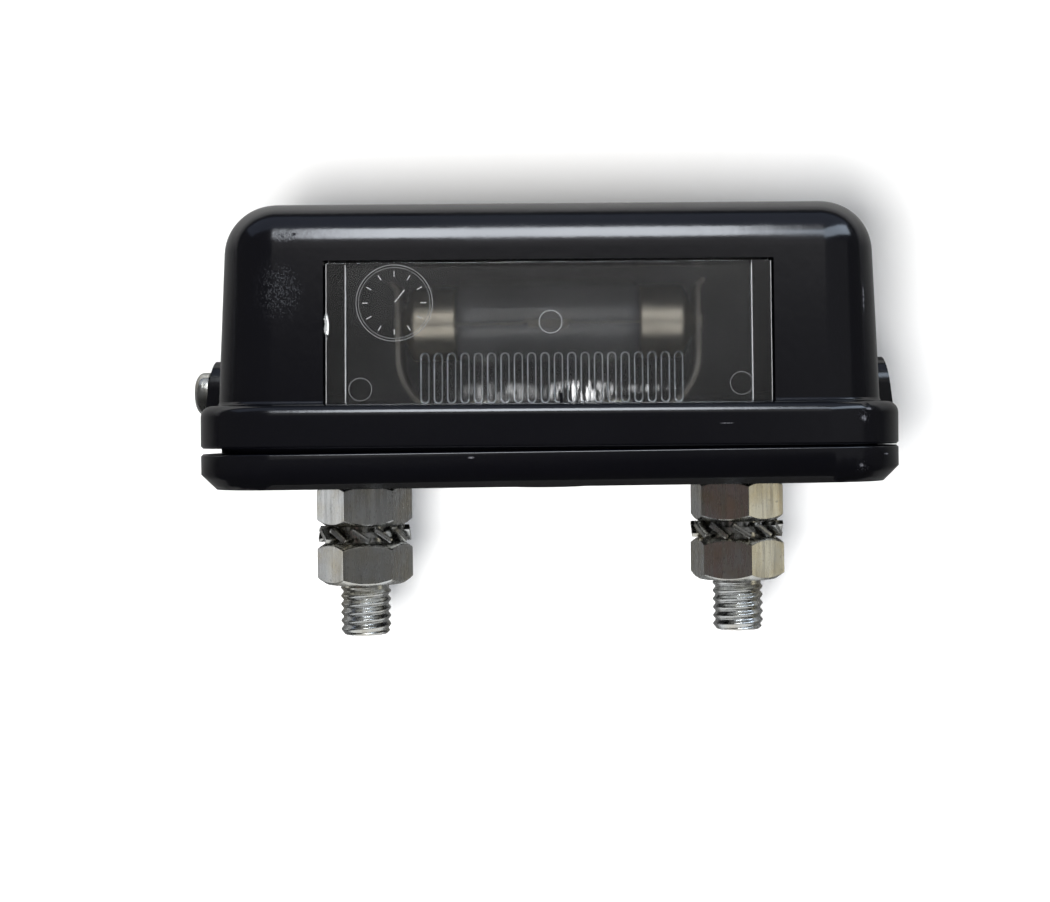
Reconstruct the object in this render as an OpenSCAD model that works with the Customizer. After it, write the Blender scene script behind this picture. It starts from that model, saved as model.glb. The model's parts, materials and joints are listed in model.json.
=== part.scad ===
/* [Base] */
// Length of the base and of the cover's flange
body_l = 79; // [77:1:84]
// Depth of the base and of the flange, front to back
body_d = 42; // [41:1:48]
// Radius of the corners in plan
corner_r = 9.25; // [8.5:0.25:10]
// Height of the base's rim
base_h = 4; // [3.6:0.2:5]
// Chamfer round the bottom edge
base_chamfer = 1.7; // [0.6:0.1:2.2]
// Thickness of the base's floor
floor_t = 2.2; // [1.8:0.1:2.6]
// Distance from the rim's outside to the upstand
upstand_inset = 2.3; // [2:0.1:2.6]
// Thickness of the upstand's wall
upstand_t = 1.3; // [1:0.1:1.6]
// Height of the upstand above the rim
upstand_h = 2.4; // [1.6:0.2:2.6]
// Small chamfer on both lips of the parting line
lip_chamfer = 0.25; // [0.1:0.05:0.4]

/* [Cover] */
// Gap between the lips when the cover is shut
seam_gap = 0.12; // [0.05:0.01:0.3]
// How far the loosened left end stands open
cover_lift = 0.5; // [0:0.05:0.6]
// Height of the flange
flange_h = 4.8; // [4.4:0.1:6]
// Fillet along the flange's top edge
flange_fillet = 1.3; // [0.5:0.1:1.6]
// Distance that the flange stands out beyond the hood
flange_step = 2; // [1.6:0.1:2.2]
// Height of the hood's top above the base's underside
hood_top_z = 31.6; // [30:0.2:38]
// Wall of the cover
wall_t = 2; // [1.6:0.1:2.2]
// Draft angle of the hood's sides
draft = 2.5; // [0.5:0.25:3]
// Fillet round the hood's top
hood_fillet = 5.8; // [4:0.1:5.8]
// Clearance between the upstand and the cover round it
skirt_gap = 0.2; // [0.1:0.05:0.4]

/* [Lens] */
// Distance from each end of the hood to the window
window_side = 12.75; // [12:0.25:15]
// Height of the window above the flange
window_h = 15.8; // [14:0.2:16.6]
// Clearance between the lens and the window's edge
lens_gap = 0.25; // [0.1:0.05:0.4]
// Wall of the lens
lens_t = 2; // [1.6:0.1:2.2]
// Distance from the back of the lens to the back of the hood
lens_rear = 9.7; // [8:0.1:12]
// Distance that the lens lies behind the hood's face
lens_recess = 0.3; // [0.1:0.1:0.8]
// Depth of the lens below the top of the flange
lens_skirt = 1.7; // [1.4:0.1:1.8]
// Width of the lip round the foot of the lens
lip_w = 2.2; // [1.8:0.1:2.4]
// Thickness of that lip
lip_t = 1.5; // [1.2:0.1:2]
// Room over the bulb inside the lens
bulb_room = 0.6; // [0.4:0.1:0.8]
// Thickness of the gasket above the lip
gasket_t = 1.2; // [0.8:0.1:1.6]
// Number of flutes inside the front of the lens
flute_count = 20; // [8:1:24]
// Distance from flute to flute
flute_pitch = 1.43; // [1.2:0.01:1.5]
// Width of one flute
flute_w = 0.95; // [0.6:0.05:1.1]
// Length of one flute
flute_h = 5.7; // [3:0.1:7]
// Height that a flute stands off the wall
flute_t = 0.35; // [0.2:0.05:0.5]
// Sideways place of the row of flutes
flute_x = 0.65; // [-2:0.05:2]

/* [Studs and nuts] */
// Distance from each end of the base to the stud
stud_side = 17; // [16.5:0.25:17.5]
// Thread diameter of the studs
stud_d = 6; // [5:0.5:6]
// Length of a stud below its head
stud_l = 20.3; // [18:0.1:26]
// Plain diameter that stands for the thread inside the nuts
engaged_d = 5.6; // [4.8:0.1:5.6]
// Width across the flats of heads and nuts
nut_af = 10; // [9:0.5:10]
// Thickness of a nut
nut_h = 5; // [4.2:0.1:5.2]
// Height of the stud's hexagon head
head_h = 4; // [3:0.1:4.2]
// Diameter of the chamfered face of a nut
nut_face_d = 9.3; // [8.4:0.1:9.4]
// Slope of the nuts' chamfers
nut_slope = 34; // [25:1:45]
// Turn of the left stud's upper and lower nuts
left_turns = [11.6, 9.5];
// Turn of the right stud's upper and lower nuts
right_turns = [-22, -19];
// Clearance of a hole round a stud
stud_gap = 0.15; // [0.1:0.05:0.3]
// Height of the toothed washer between the nuts
washer_h = 2; // [1.9:0.1:2.4]
// Diameter of the washer over its teeth
washer_d = 11; // [10.4:0.1:11.6]
// Number of its twisted teeth
tooth_count = 12; // [8:1:12]
// Twist of each tooth
tooth_twist = 38; // [25:1:40]
// Thickness of the washer's steel
washer_t = 0.6; // [0.4:0.05:0.7]
// Width of one tooth
tooth_w = 2.2; // [1.6:0.1:2.25]

/* [Cover screws] */
// Height of the cover screws' axis
screw_z = 11.1; // [10.8:0.1:12]
// Thread diameter of the cover screws
screw_d = 3; // [2.5:0.1:3.2]
// Length of a cover screw below its head
screw_l = 11; // [9:0.5:11.5]
// Diameter of the pan head
screw_head_d = 5.2; // [4.6:0.1:5.2]
// Height of the pan head
screw_head_h = 1.9; // [1.5:0.1:2]
// How far the left screw is backed out
screw_out = 2.6; // [2.4:0.05:2.8]
// Distance from the hood's end to the boss's face
boss_l = 3.1; // [3:0.1:4]
// Radius of the boss round the screw
boss_r = 3.4; // [3.3:0.1:4]
// Slope of the boss's face
boss_slope = 7; // [0:1:9]
// Depth of the recess for the head
head_recess = 2.1; // [2:0.05:2.2]
// Thickness of the base's lug that the screw bites into
lug_t = 4; // [3:0.2:4.2]

/* [Bulb and contacts] */
// Height of the bulb's axis
bulb_z = 18.7; // [17:0.1:20]
// Place of the bulb's axis, front to back
bulb_y = -5.5; // [-7:0.1:-4]
// Distance from each side of the window to the bulb's tip
bulb_side = 6.75; // [6.25:0.25:7.25]
// Diameter of the bulb's glass
glass_d = 10.5; // [9:0.5:11]
// Length of the blunt cone and nose beyond a cap's straight part
nose_l = 2.1; // [1.8:0.1:2.4]
// Wall of the bulb's glass
glass_t = 0.7; // [0.5:0.1:1]
// Diameter of a cap
cap_d = 8.5; // [7:0.5:8.5]
// Length of the straight part of a cap
cap_l = 5.2; // [4:0.1:5.6]
// Sheet that a cap is drawn from
cap_t = 0.35; // [0.25:0.05:0.45]
// Width of a contact leaf
leaf_w = 6.5; // [5:0.5:8]
// Thickness of a contact leaf
leaf_t = 0.5; // [0.3:0.05:0.5]
// Height of the pedestals under the leaves
pedestal_z = 7.6; // [6.8:0.1:8]
// Diameter of the terminal screws
terminal_d = 3; // [2.5:0.1:3.2]

/* [Cable hole] */
// Diameter of the hole in the base for the grommet
gland_d = 8; // [7:0.5:9]
// Bore of the grommet
gland_bore = 4.4; // [3.6:0.2:5]
// Distance from the back of the base to the middle of the hole
gland_side = 12; // [11:0.5:13]

/* [Hidden] */
$fn = 48;

hair = 0.02;          // clearance of a thread in its hole
over = 1;             // how far a cutter runs past the face it cuts
bend_steps = 12;      // steps in a quarter bend
black = [0.045, 0.047, 0.062];
clear = [0.80, 0.84, 0.84, 0.35];
zinc = [0.70, 0.71, 0.69];
nickel = [0.80, 0.78, 0.72];
rubber = [0.06, 0.06, 0.06];

// Cover: heights and the outline of each storey
cover_z = base_h + seam_gap;
flange_z = cover_z + flange_h;
cover_tilt = atan(cover_lift / body_l);
hood_l = body_l - 2 * flange_step;
hood_d = body_d - 2 * flange_step;
hood_r = corner_r - flange_step;
skirt_z = base_h + upstand_h + 3 * skirt_gap;
upstand_l = body_l - 2 * upstand_inset;
upstand_d = body_d - 2 * upstand_inset;
upstand_r = corner_r - upstand_inset;
window_w = hood_l - 2 * window_side;
gland_y = body_d / 2 - gland_side;

// Lens
lens_l = window_w - 2 * lens_gap;
lens_z = flange_z - lens_skirt;
pane_top_z = flange_z + window_h - lens_gap;
lens_top_z = bulb_z + glass_d / 2 + bulb_room + lens_t;
lens_front = hood_d / 2 - lens_recess;
shoulder_front = hood_d / 2 - wall_t - lens_gap - (flange_z - cover_z + over) * tan(draft);
lens_back = hood_d / 2 - lens_rear;
lip_top_z = lens_z + lip_t;
frame_z = lip_top_z + gasket_t;
frame_t = lip_w - 0.5;
lip_front = lens_front - lens_t - 1;
post_gap = 0.1;
post_z = lens_z - post_gap;
post_r = 0.7 * lip_w;
post_x = (lens_l + lip_w) / 2;
post_wall_gap = 0.5;
post_y = [lens_back - 1, post_r + wall_t + post_wall_gap - hood_d / 2];

// Studs and nuts, downwards from the base's underside
stud_pitch = body_l - 2 * stud_side;
stud_r = stud_d / 2;
tip_z = floor_t - stud_l;
lower_nut_z = -2 * nut_h - washer_h;
point_h = 0.4;
free_z = lower_nut_z - point_h;
socket_gap = 0.1;
socket_r = (nut_af / 2 + socket_gap) / cos(30);
collar_t = 1.1;
collar_r = socket_r + collar_t;
collar_z = floor_t + 0.75 * head_h;

// Cover screws, outwards from the middle
boss_x = hood_l / 2 + boss_l;
seat_x = boss_x - head_recess;
seat_gap = hair + screw_z * sin(cover_tilt);
hole_gap = 0.15;
lug_gap = 1.3;
lug_x = hood_l / 2 - wall_t - lug_gap - lug_t;

// Grommet: how far it stands out below and above the base's floor
gland_out = 0.9;
gland_in = 1.3;

// Bulb and contacts
lead_r = 0.15;
coil_l = 4.8;
bulb_l = window_w - 2 * bulb_side;
nose_x = bulb_l / 2;
cap_x = nose_x - nose_l - cap_l;
nose_r = 1.1;
neck_r = cap_d / 2 - cap_t - 0.1;
neck_l = 3;
leaf_hole_r = nose_r + 0.6;
leaf_x = nose_x - leaf_hole_r + 1.05;
leaf_top_z = lens_top_z - lens_t - 1;
leaf_r = 0.19 * bulb_l;
foot_l = 0.17 * bulb_l;
foot_x = leaf_x - leaf_r - foot_l;
terminal_x = foot_x + foot_l / 2;
pedestal_rim = 0.8;
pedestal_l = foot_l + 2 * pedestal_rim;
terminal_z = floor_t + 0.6;

function arc_points(x, z, r, from, to, steps) =
    [for (i = [0:steps]) let (a = from + (to - from) * i / steps) [x + r * cos(a), z + r * sin(a)]];

// Wall that leans in by the draft from height low, then turns over a fillet into a flat top.
// Each point is its distance in from the widest outline, and its height.
function drafted_wall(low, top, lean, fillet) =
    let (
        turn_z = top - fillet,
        start_z = turn_z + fillet * sin(lean),
        turn_in = (start_z - low) * tan(lean) + fillet * cos(lean)
    )
    concat(
        [[0, low]],
        [for (p = arc_points(0, turn_z, fillet, lean, 90, bend_steps)) [turn_in - p[0], p[1]]]
    );

// Block of l by d with corners of radius r in plan, whose sides follow the wall all the way round
module lofted(l, d, r, wall) {
    low = wall[0][1];
    high = wall[len(wall) - 1][1];
    for (k = [0:3])
        translate([(l / 2 - r) * [1, -1, -1, 1][k], (d / 2 - r) * [1, 1, -1, -1][k], 0])
            rotate([0, 0, 90 * k])
                rotate_extrude(angle = 90)
                    polygon(concat([[0, low]], [for (p = wall) [r - p[0], p[1]]], [[0, high]]));
    rotate([90, 0, 90])
        linear_extrude(l - 2 * r, center = true)
            two_sided(d / 2, wall);
    rotate([90, 0, 0])
        linear_extrude(d - 2 * r, center = true)
            two_sided(l / 2, wall);
}

module two_sided(half, wall) {
    last = len(wall) - 1;
    polygon(concat(
        [for (p = wall) [half - p[0], p[1]]],
        [for (i = [last:-1:0]) [wall[i][0] - half, wall[i][1]]]
    ));
}

module rounded_block(l, d, r, low, high) {
    lofted(l, d, r, [[0, low], [0, high]]);
}

// Box from its low corner to its high corner
module span(low, high) {
    translate(low) cube(high - low);
}

// Cylinder along X, from x0 to x1
module along_x(r, x0, x1, y = 0, z = 0) {
    translate([x0, y, z]) rotate([0, 90, 0]) cylinder(r = r, h = x1 - x0);
}

// Lug with a round top, along X, standing on height low
module round_topped(r, x0, x1, z, low) {
    translate([x0, 0, 0])
        rotate([90, 0, 90])
            linear_extrude(x1 - x0) {
                translate([0, z]) circle(r = r);
                translate([-r, low]) square([2 * r, z - low]);
            }
}

module each_side() {
    children();
    mirror([1, 0, 0]) children();
}

// The cover and what it carries, swung up about the right-hand lip
module as_left_open() {
    translate([body_l / 2, 0, cover_z])
        rotate([0, cover_tilt, 0])
            translate([-body_l / 2, 0, -cover_z])
                children();
}

// Base: a tray with an upstand, sockets for the stud heads, lugs, posts and pedestals
module base_plate() {
    rim = [[base_chamfer, 0], [0, base_chamfer], [0, base_h - lip_chamfer], [lip_chamfer, base_h]];
    color(black) difference() {
        union() {
            difference() {
                union() {
                    lofted(body_l, body_d, corner_r, rim);
                    rounded_block(upstand_l, upstand_d, upstand_r, floor_t, base_h + upstand_h);
                }
                rounded_block(
                    upstand_l - 2 * upstand_t, upstand_d - 2 * upstand_t, upstand_r - upstand_t,
                    floor_t, base_h + upstand_h + over
                );
            }
            each_side() {
                translate([stud_pitch / 2, 0, floor_t / 2])
                    cylinder(r = collar_r, h = collar_z - floor_t / 2);
                round_topped(boss_r, lug_x, lug_x + lug_t, screw_z, floor_t / 2);
                for (y = post_y)
                    translate([post_x, y, floor_t / 2])
                        cylinder(r = post_r, h = post_z - floor_t / 2);
                translate([foot_x + foot_l / 2, bulb_y, 0])
                    rounded_block(
                        pedestal_l, leaf_w + 2 * pedestal_rim, 1.5 * pedestal_rim,
                        floor_t / 2, pedestal_z
                    );
            }
        }
        each_side() {
            translate([stud_pitch / 2, 0, floor_t])
                cylinder(r = socket_r, h = head_h, $fn = 6);
            translate([stud_pitch / 2, 0, -over])
                cylinder(r = stud_r + stud_gap, h = floor_t + 2 * over);
            along_x(screw_d / 2 + hair, lug_x - over, lug_x + lug_t + over, 0, screw_z);
            translate([terminal_x, bulb_y, terminal_z])
                cylinder(r = terminal_d / 2 + hair, h = pedestal_z);
        }
        translate([0, gland_y, -over]) cylinder(d = gland_d, h = floor_t + 2 * over);
    }
}

// Cover: flange, hood and screw bosses in one moulding, with a window and a frame for the lens
module hood() {
    rim = concat(
        [[lip_chamfer, cover_z], [0, cover_z + lip_chamfer]],
        [for (p = arc_points(0, flange_z - flange_fillet, flange_fillet, 0, 90, bend_steps / 2))
            [flange_fillet - p[0], p[1]]]
    );
    lean = (hood_top_z - flange_z) * tan(draft);
    fillet = min(hood_fillet, hood_r - lean - 2.5 * hair);
    outside = drafted_wall(flange_z - over, hood_top_z, draft, fillet);
    inside = drafted_wall(cover_z - over, hood_top_z - wall_t, draft, fillet - wall_t);
    as_left_open() color(black) difference() {
        union() {
            lofted(body_l, body_d, corner_r, rim);
            lofted(hood_l, hood_d, hood_r, outside);
            each_side() screw_boss();
        }
        difference() {
            lofted(hood_l - 2 * wall_t, hood_d - 2 * wall_t, hood_r - wall_t, inside);
            lens_frame();
        }
        rounded_block(
            upstand_l + 2 * skirt_gap, upstand_d + 2 * skirt_gap, upstand_r + skirt_gap,
            cover_z - over, skirt_z
        );
        window();
        each_side() {
            screw_slot(screw_d / 2 + hole_gap, hood_l / 2 - wall_t - over);
            screw_slot(screw_head_d / 2 + hole_gap, seat_x);
        }
    }
}

// Hole for a cover screw, drawn down by the height that the cover can stand open
module screw_slot(r, x) {
    low_z = screw_z - cover_lift;
    along_x(r, x, boss_x + over, 0, screw_z);
    along_x(r, x, boss_x + over, 0, low_z);
    span([x, -r, low_z], [boss_x + over, r, screw_z]);
}

module screw_boss() {
    difference() {
        round_topped(boss_r, hood_l / 2 - wall_t, boss_x + over, screw_z, flange_z - flange_fillet);
        translate([boss_x, -body_d / 2, screw_z])
            rotate([0, -boss_slope, 0])
                translate([0, 0, -hood_top_z]) cube([body_d, body_d, 2 * hood_top_z]);
    }
}

module window() {
    back = wall_t + over - hood_d / 2;
    span([-window_w / 2, -body_d, flange_z], [window_w / 2, back, flange_z + window_h]);
    span([-window_w / 2, -lens_front - lens_gap / 2, cover_z - over], [window_w / 2, back, flange_z + over]);
}

// Ribs that come down round the lens and press on its gasket
module lens_frame() {
    inner = lens_l / 2 + lens_gap;
    back = lens_back + lens_gap;
    difference() {
        span([-inner - frame_t, -hood_d, frame_z], [inner + frame_t, back + frame_t, hood_top_z]);
        span([-inner, -hood_d - over, frame_z - over], [inner, back, hood_top_z + over]);
    }
}

// Clear box, open below, whose pane fills the window and whose shoulder lies behind the hood's wall
module lens() {
    inside_l = lens_l - 2 * lens_t;
    as_left_open() color(clear) {
        difference() {
            union() {
                lens_block(lens_l, lens_front, lens_back, lens_z, pane_top_z);
                lens_block(lens_l, shoulder_front, lens_back, lens_z, lens_top_z);
                span(
                    [-lens_l / 2 - lip_w, -lip_front, lens_z],
                    [lens_l / 2 + lip_w, lens_back + lip_w, lip_top_z]
                );
            }
            lens_block(inside_l, lens_front - lens_t, lens_back - lens_t, lens_z - over, pane_top_z - lens_t);
            lens_block(inside_l, shoulder_front - lens_t, lens_back - lens_t, lens_z, lens_top_z - lens_t);
        }
        for (i = [0:flute_count - 1])
            flute(flute_x + (i - (flute_count - 1) / 2) * flute_pitch);
    }
}

// Box whose front leans back with the hood's face
module lens_block(l, front, back, low, high) {
    lean_low = (low - flange_z) * tan(draft);
    lean_high = (high - flange_z) * tan(draft);
    rotate([90, 0, 90])
        linear_extrude(l, center = true)
            polygon([[lean_low - front, low], [back, low], [back, high], [lean_high - front, high]]);
}

// Long rib with round ends inside the front wall
module flute(x) {
    translate([x, lens_t - lens_front, flange_z])
        rotate([90 - draft, 0, 0])
            translate([0, flute_w / 2, -flute_t])
                linear_extrude(flute_t + lens_recess) {
                    circle(d = flute_w);
                    translate([-flute_w / 2, 0]) square([flute_w, flute_h - flute_w]);
                    translate([0, flute_h - flute_w]) circle(d = flute_w);
                }
}

module lens_gasket() {
    gap = 0.1;
    inner = lens_l / 2 + gap;
    outer = lens_l / 2 + lip_w - gap;
    as_left_open() color(rubber) difference() {
        span([-outer, gap - lip_front, lip_top_z], [outer, lens_back + lip_w - gap, frame_z]);
        span([-inner, -lens_front, lip_top_z - over], [inner, lens_back + gap, frame_z + over]);
    }
}

module cable_grommet() {
    bore = gland_bore / 2;
    neck = gland_d / 2 - 0.05;
    rim = neck + 1.25;
    bevel = 0.5;
    color(rubber)
        translate([0, gland_y, 0])
            rotate_extrude()
                polygon([
                    [bore, -gland_out], [rim - bevel, -gland_out], [rim, bevel - gland_out], [rim, 0],
                    [neck, 0], [neck, floor_t], [rim, floor_t], [rim - bevel, floor_t + gland_in],
                    [bore, floor_t + gland_in]
                ]);
}

// Hexagon with turned chamfers, from z = 0 up
module hexagon(af, h, face_d, low_slope, high_slope) {
    corner = af / 2 / cos(30);
    clear_r = corner + 0.1;
    drop = clear_r - face_d / 2;
    intersection() {
        cylinder(r = corner, h = h, $fn = 6);
        rotate_extrude()
            polygon([
                [0, 0], [face_d / 2, 0], [clear_r, drop * tan(low_slope)],
                [clear_r, h - drop * tan(high_slope)], [face_d / 2, h], [0, h]
            ]);
    }
}

module nut(turn, low) {
    color(zinc)
        translate([0, 0, low])
            difference() {
                rotate([0, 0, turn]) hexagon(nut_af, nut_h, nut_face_d, nut_slope, nut_slope);
                translate([0, 0, -over]) cylinder(r = engaged_d / 2 + hair, h = nut_h + 2 * over);
            }
}

// Screw with a hexagon head: the full thread diameter shows at the free end only
module stud() {
    engaged_r = engaged_d / 2;
    color(zinc) {
        translate([0, 0, floor_t]) hexagon(nut_af, head_h, nut_face_d, 0, nut_slope);
        translate([0, 0, free_z]) cylinder(r = engaged_r, h = floor_t - free_z);
        translate([0, 0, tip_z + point_h]) cylinder(r = stud_r, h = free_z - tip_z - point_h);
        translate([0, 0, tip_z]) cylinder(r1 = stud_r - point_h, r2 = stud_r, h = point_h);
    }
}

// Spring washer with teeth that are twisted out of its plane, so that they bite both nuts
module lock_washer() {
    inner_r = stud_r + stud_gap;
    tooth_l = washer_d / 2 - inner_r - 0.5;
    ring_r = inner_r + 0.45 * tooth_l;
    color(zinc)
        translate([0, 0, -nut_h - washer_h / 2])
            difference() {
                union() {
                    translate([0, 0, -washer_t / 2]) cylinder(r = ring_r, h = washer_t);
                    for (i = [0:tooth_count - 1])
                        rotate([0, 0, 360 / tooth_count * i])
                            translate([washer_d / 2 - tooth_l / 2, 0, 0])
                                rotate([-tooth_twist, 0, 0])
                                    cube([tooth_l, tooth_w, washer_t], center = true);
                }
                cylinder(r = inner_r, h = 2 * washer_h, center = true);
            }
}

// Pan head with a cross recess and a plain shank, head outwards along +X from x = 0
module pan_screw(d, l, head_d, head_h) {
    edge = head_h * 0.45;
    slot_w = head_d * 0.15;
    slot_depth = head_h * 0.58;
    flat = 0.45;
    color(zinc) {
        difference() {
            rotate([0, 90, 0])
                rotate_extrude()
                    polygon(concat(
                        [[0, 0], [head_d / 2, 0], [head_d / 2, edge]],
                        [for (i = [1:8]) let (a = 90 * i / 8)
                            [head_d / 2 * (flat + (1 - flat) * cos(a)), edge + (head_h - edge) * sin(a)]],
                        [[0, head_h]]
                    ));
            for (turn = [0, 90])
                rotate([turn, 0, 0])
                    span(
                        [head_h - slot_depth, -head_d / 4, -slot_w / 2],
                        [head_h + over, head_d / 4, slot_w / 2]
                    );
        }
        along_x(d / 2, -l, 0);
    }
}

// Spring leaf: a flat foot, a round bend, then an upright with a hole for the bulb's nose
module contact() {
    foot_z = pedestal_z + leaf_t / 2;
    bend_x = foot_x + foot_l;
    flare_r = 1.4;
    outer = concat(
        [[foot_x, foot_z - leaf_t / 2]],
        arc_points(bend_x, foot_z + leaf_r, leaf_r + leaf_t / 2, -90, 0, bend_steps),
        arc_points(leaf_x + flare_r, leaf_top_z - flare_r, flare_r - leaf_t / 2, 180, 120, 5)
    );
    inner = concat(
        arc_points(leaf_x + flare_r, leaf_top_z - flare_r, flare_r + leaf_t / 2, 120, 180, 5),
        arc_points(bend_x, foot_z + leaf_r, leaf_r - leaf_t / 2, 0, -90, bend_steps),
        [[foot_x, foot_z + leaf_t / 2]]
    );
    color(nickel) difference() {
        translate([0, bulb_y, 0])
            rotate([90, 0, 0])
                linear_extrude(leaf_w, center = true) polygon(concat(outer, inner));
        along_x(leaf_hole_r, leaf_x - over, leaf_x + over, bulb_y, bulb_z);
        translate([terminal_x, bulb_y, pedestal_z - over]) cylinder(d = terminal_d + 0.3, h = 2 * over);
    }
}

module terminal_screw() {
    translate([terminal_x, bulb_y, pedestal_z + leaf_t])
        rotate([0, -90, 0])
            pan_screw(terminal_d, pedestal_z + leaf_t - terminal_z - 0.2, 1.8 * terminal_d, 0.6 * terminal_d);
}

// Tube with drawn-in necks, closed at both ends round the leads
module bulb_glass() {
    r = glass_d / 2;
    inner_r = r - glass_t;
    lead_hole = lead_r + 0.05;
    neck_x = cap_x + neck_l;
    end_x = neck_x - 0.4 * neck_l;
    shoulder = r - neck_r;
    turn_x = cap_x - 0.05;
    outer = concat(
        [[lead_hole, neck_x], [neck_r, neck_x], [neck_r, turn_x]],
        arc_points(r - shoulder, turn_x - shoulder, shoulder, 90, 0, 6)
    );
    inner = concat(
        arc_points(inner_r - shoulder, turn_x - shoulder, shoulder, 0, 90, 6),
        [[neck_r - glass_t, end_x], [lead_hole, end_x]]
    );
    half_outer = [for (p = outer) [p[0], -p[1]]];
    half_inner = [for (p = inner) [p[0], -p[1]]];
    color(clear)
        translate([0, bulb_y, bulb_z])
            rotate([0, 90, 0])
                difference() {
                    rotate_extrude() polygon(concat(outer, reversed(half_outer)));
                    rotate_extrude() polygon(concat(reversed(inner), half_inner));
                }
}

function reversed(list) = [for (i = [len(list) - 1:-1:0]) list[i]];

module bulb_filament() {
    lead_x = cap_x + cap_l - cap_t;
    color(zinc) {
        along_x(lead_r, -lead_x, lead_x, bulb_y, bulb_z);
        along_x(3 * lead_r, -coil_l / 2, coil_l / 2, bulb_y, bulb_z);
    }
}

// Drawn cap: a straight skirt, a blunt cone and a round nose
module bulb_cap() {
    r = cap_d / 2;
    shoulder_x = cap_x + cap_l;
    bevel = 0.3;
    round_r = 0.5;
    color(nickel)
        translate([0, bulb_y, bulb_z])
            rotate([0, 90, 0])
                rotate_extrude()
                    polygon(concat(
                        [[r - cap_t, cap_x], [r, cap_x], [r, shoulder_x - bevel], [r - bevel, shoulder_x]],
                        [[nose_r, nose_x - 1.4 * round_r]],
                        arc_points(nose_r - round_r, nose_x - round_r, round_r, 0, 90, 4),
                        [[0, nose_x], [0, shoulder_x - cap_t], [r - cap_t, shoulder_x - cap_t]]
                    ));
}

base_plate();
hood();
lens();
lens_gasket();
cable_grommet();
translate([-stud_pitch / 2, 0, 0]) stud();  // stud_left
translate([stud_pitch / 2, 0, 0]) stud();  // stud_right
translate([-stud_pitch / 2, 0, 0]) nut(left_turns[0], -nut_h);  // upper_nut_left
translate([stud_pitch / 2, 0, 0]) nut(right_turns[0], -nut_h);  // upper_nut_right
translate([-stud_pitch / 2, 0, 0]) lock_washer();  // lock_washer_left
translate([stud_pitch / 2, 0, 0]) lock_washer();  // lock_washer_right
translate([-stud_pitch / 2, 0, 0]) nut(left_turns[1], lower_nut_z);  // lower_nut_left
translate([stud_pitch / 2, 0, 0]) nut(right_turns[1], lower_nut_z);  // lower_nut_right
translate([-seat_x - screw_out, 0, screw_z])  // cover_screw_left
        rotate([0, 0, 180]) pan_screw(screw_d, screw_l, screw_head_d, screw_head_h);
translate([seat_x + seat_gap, 0, screw_z]) pan_screw(screw_d, screw_l, screw_head_d, screw_head_h);  // cover_screw_right
mirror([1, 0, 0]) contact();  // contact_left
contact();  // contact_right
mirror([1, 0, 0]) terminal_screw();  // terminal_screw_left
terminal_screw();  // terminal_screw_right
bulb_glass();
bulb_filament();
mirror([1, 0, 0]) bulb_cap();  // bulb_cap_left
bulb_cap();  // bulb_cap_right
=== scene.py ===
import json
import math
import random

import bmesh
import bpy
from mathutils import Matrix, Vector

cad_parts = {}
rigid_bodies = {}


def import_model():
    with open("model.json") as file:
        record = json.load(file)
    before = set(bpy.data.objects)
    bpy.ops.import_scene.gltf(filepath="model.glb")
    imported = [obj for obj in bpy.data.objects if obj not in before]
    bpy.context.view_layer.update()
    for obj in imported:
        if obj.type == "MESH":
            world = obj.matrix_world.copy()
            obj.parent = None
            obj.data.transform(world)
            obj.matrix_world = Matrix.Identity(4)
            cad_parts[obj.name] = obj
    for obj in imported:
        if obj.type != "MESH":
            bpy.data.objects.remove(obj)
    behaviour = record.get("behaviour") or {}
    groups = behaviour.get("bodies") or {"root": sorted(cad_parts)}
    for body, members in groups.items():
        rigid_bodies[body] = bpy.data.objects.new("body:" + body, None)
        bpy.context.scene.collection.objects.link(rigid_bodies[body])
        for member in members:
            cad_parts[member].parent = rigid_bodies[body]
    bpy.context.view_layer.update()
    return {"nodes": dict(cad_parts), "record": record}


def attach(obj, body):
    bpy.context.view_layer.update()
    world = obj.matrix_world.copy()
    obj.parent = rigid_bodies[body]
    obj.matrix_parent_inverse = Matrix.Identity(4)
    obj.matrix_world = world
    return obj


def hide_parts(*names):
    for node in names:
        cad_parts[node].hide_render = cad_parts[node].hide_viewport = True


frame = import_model()
mm = 0.001
scene = bpy.context.scene
print("frame loaded:", len(frame["nodes"]), "nodes")

# camera: close to the lamp, a little below the middle of the hood
cameraView = {"distance": 195, "height": 6, "lens": 55.2, "shiftX": -0.0233, "shiftY": -0.0185, "roll": -0.81}


def addCamera(view):
    data = bpy.data.cameras.new("camera")
    data.lens = view["lens"]
    data.shift_x = view["shiftX"]
    data.shift_y = view["shiftY"]
    data.clip_start = 0.01
    camera = bpy.data.objects.new("camera", data)
    place = Matrix.Translation((0, -view["distance"] * mm, view["height"] * mm))
    roll = Matrix.Rotation(math.radians(view["roll"]), 4, "Z")
    camera.matrix_world = place @ Matrix.Rotation(math.radians(90), 4, "X") @ roll
    scene.collection.objects.link(camera)
    scene.camera = camera


addCamera(cameraView)


# helpers for nodes: every input is a constant or the output of another node
def setInputs(tree, node, inputs):
    for key, value in inputs.items():
        if isinstance(value, bpy.types.NodeSocket):
            tree.links.new(value, node.inputs[key])
        else:
            node.inputs[key].default_value = value


def addNode(tree, kind, inputs=None, **settings):
    node = tree.nodes.new(kind)
    for key, value in settings.items():
        setattr(node, key, value)
    setInputs(tree, node, inputs or {})
    return node


def newMaterial(name):
    material = bpy.data.materials.new(name)
    material.use_nodes = True
    tree = material.node_tree
    place = addNode(tree, "ShaderNodeTexCoord").outputs["Object"]
    return material, tree, tree.nodes["Principled BSDF"], place


def math2(tree, operation, a, b=0.0, clamp=False):
    return addNode(tree, "ShaderNodeMath", {0: a, 1: b}, operation=operation, use_clamp=clamp).outputs[0]


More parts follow.
